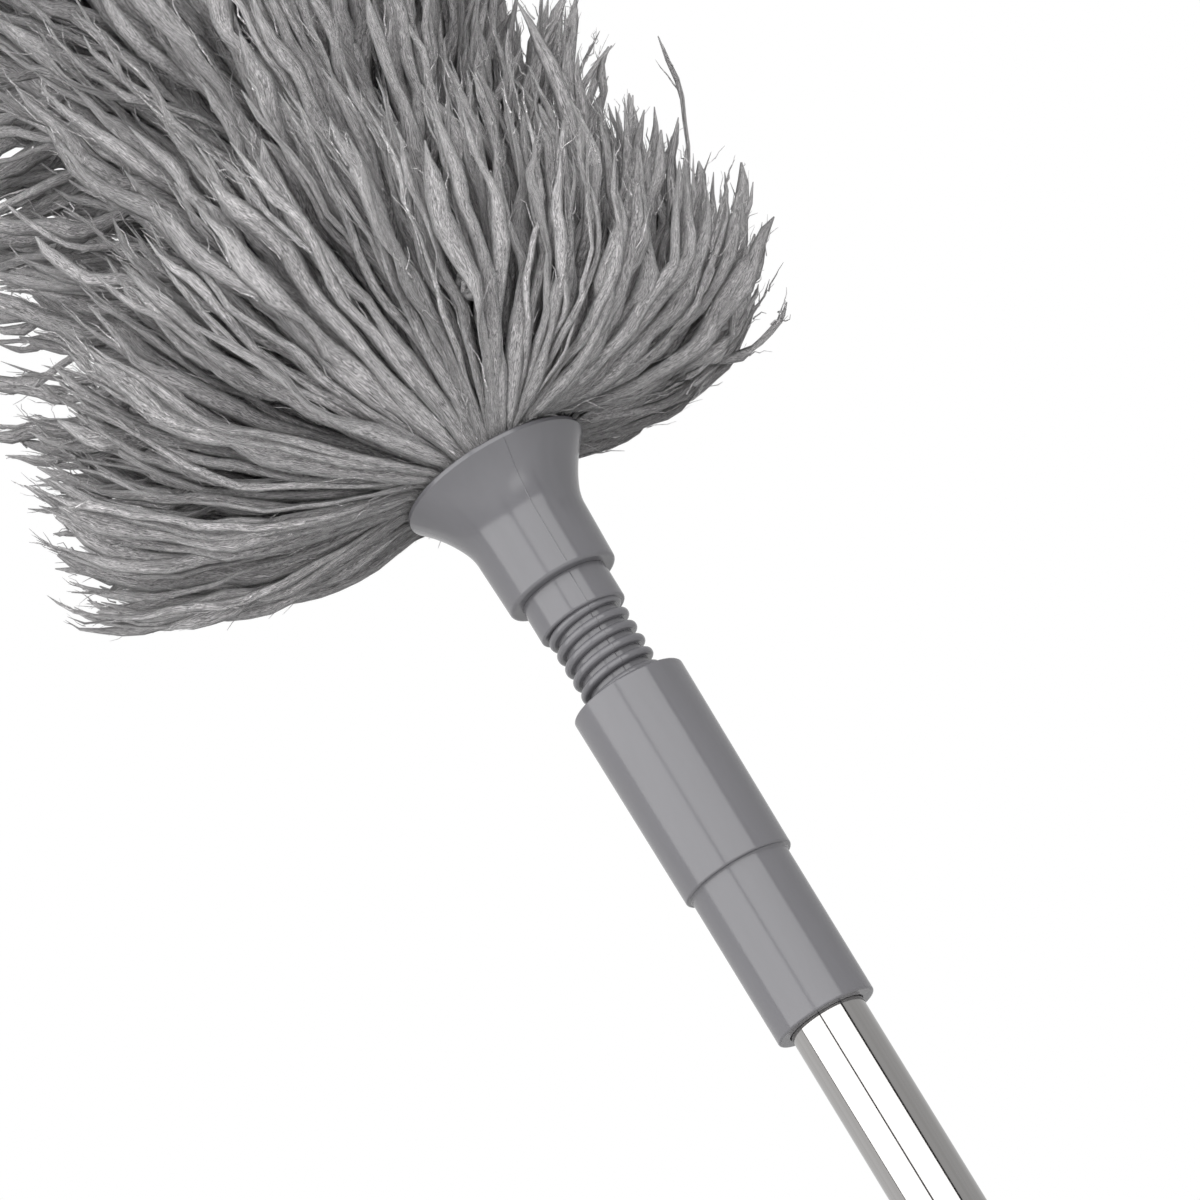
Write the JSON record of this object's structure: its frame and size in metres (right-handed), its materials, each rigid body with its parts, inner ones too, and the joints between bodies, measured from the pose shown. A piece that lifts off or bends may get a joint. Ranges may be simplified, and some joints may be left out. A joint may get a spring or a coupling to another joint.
{
  "type": "feather duster",
  "caption": "Extendable microfibre duster: a round head of loose grey strands in a flared collar, screwed on a telescopic stainless pole with twist locks, a grip and a hang hole.",
  "frame": {"origin": "lowest point of the handle's end cap, on the pole's axis", "axes": "+Z along the pole from the handle to the head, +Y along the hang hole"},
  "size_m": [0.186, 0.112, 1.1651],
  "materials": {
    "grey_plastic": "gloss",
    "stainless_tube": "polished",
    "lock_plastic": "satin",
    "steel_wire": "satin",
    "backing_cloth": "matte",
    "microfibre": "matte"
  },
  "bodies": {
    "handle": {"handle_end_cap": "grey_plastic", "handle_grip": "grey_plastic", "lower_tube": "stainless_tube", "lower_ferrule": "grey_plastic"},
    "middle_lock_sleeve": {"middle_lock_sleeve": "lock_plastic"},
    "middle_lock_cone": {"middle_lock_cone": "lock_plastic"},
    "middle_pole": {"middle_tube": "stainless_tube", "middle_end_plug": "lock_plastic", "middle_ferrule": "grey_plastic"},
    "top_lock_sleeve": {"top_lock_sleeve": "lock_plastic"},
    "top_lock_cone": {"top_lock_cone": "lock_plastic"},
    "top_pole": {"top_tube": "stainless_tube", "top_end_plug": "lock_plastic", "pole_adapter": "grey_plastic"},
    "collar": {"flared_collar": "grey_plastic"},
    "head": {"threaded_plug": "grey_plastic", "pile_clamp_ring": "steel_wire", "pile_root": "microfibre", "core_rod": "lock_plastic", "core_pin": "steel_wire", "core_tip_cap": "lock_plastic", "core_cloth_sleeve": "backing_cloth", "pile_ring_1": "microfibre", "pile_ring_2": "microfibre", "pile_ring_3": "microfibre", "pile_ring_4": "microfibre", "pile_ring_5": "microfibre", "pile_tip": "microfibre"}
  },
  "joints": [
    {"name": "middle_extend", "type": "slide", "parent": "handle", "child": "middle_lock_sleeve", "axis": [0, 0, 1], "range_m": [0, 0.35]},
    {"name": "middle_twist", "type": "hinge", "parent": "middle_lock_sleeve", "child": "middle_pole", "pos_m": [0, 0, 0.08], "axis": [0, 0, 1], "range_deg": [-180, 0]},
    {"name": "middle_cone_lift", "type": "slide", "parent": "middle_lock_sleeve", "child": "middle_lock_cone", "axis": [0, 0, 1], "range_m": [-0.00005, 0.00155]},
    {"name": "top_extend", "type": "slide", "parent": "middle_pole", "child": "top_lock_sleeve", "axis": [0, 0, 1], "range_m": [0, 0.39]},
    {"name": "top_twist", "type": "hinge", "parent": "top_lock_sleeve", "child": "top_pole", "pos_m": [0, 0, 0.13], "axis": [0, 0, 1], "range_deg": [-180, 0]},
    {"name": "top_cone_lift", "type": "slide", "parent": "top_lock_sleeve", "child": "top_lock_cone", "axis": [0, 0, 1], "range_m": [-0.00005, 0.00155]},
    {"name": "head_travel", "type": "slide", "parent": "top_pole", "child": "collar", "axis": [0, 0, 1], "range_m": [-0.0206, 0.0093]},
    {"name": "head_screw", "type": "hinge", "parent": "collar", "child": "head", "pos_m": [0, 0, 0.8], "axis": [0, 0, 1], "range_deg": [-1950, 870]}
  ],
  "couplings": [
    {"joint": "middle_cone_lift", "follows": "middle_twist", "m_per_rad": -0.00047746},
    {"joint": "top_cone_lift", "follows": "top_twist", "m_per_rad": -0.00047746},
    {"joint": "head_travel", "follows": "head_screw", "m_per_rad": 0.00060479}
  ]
}
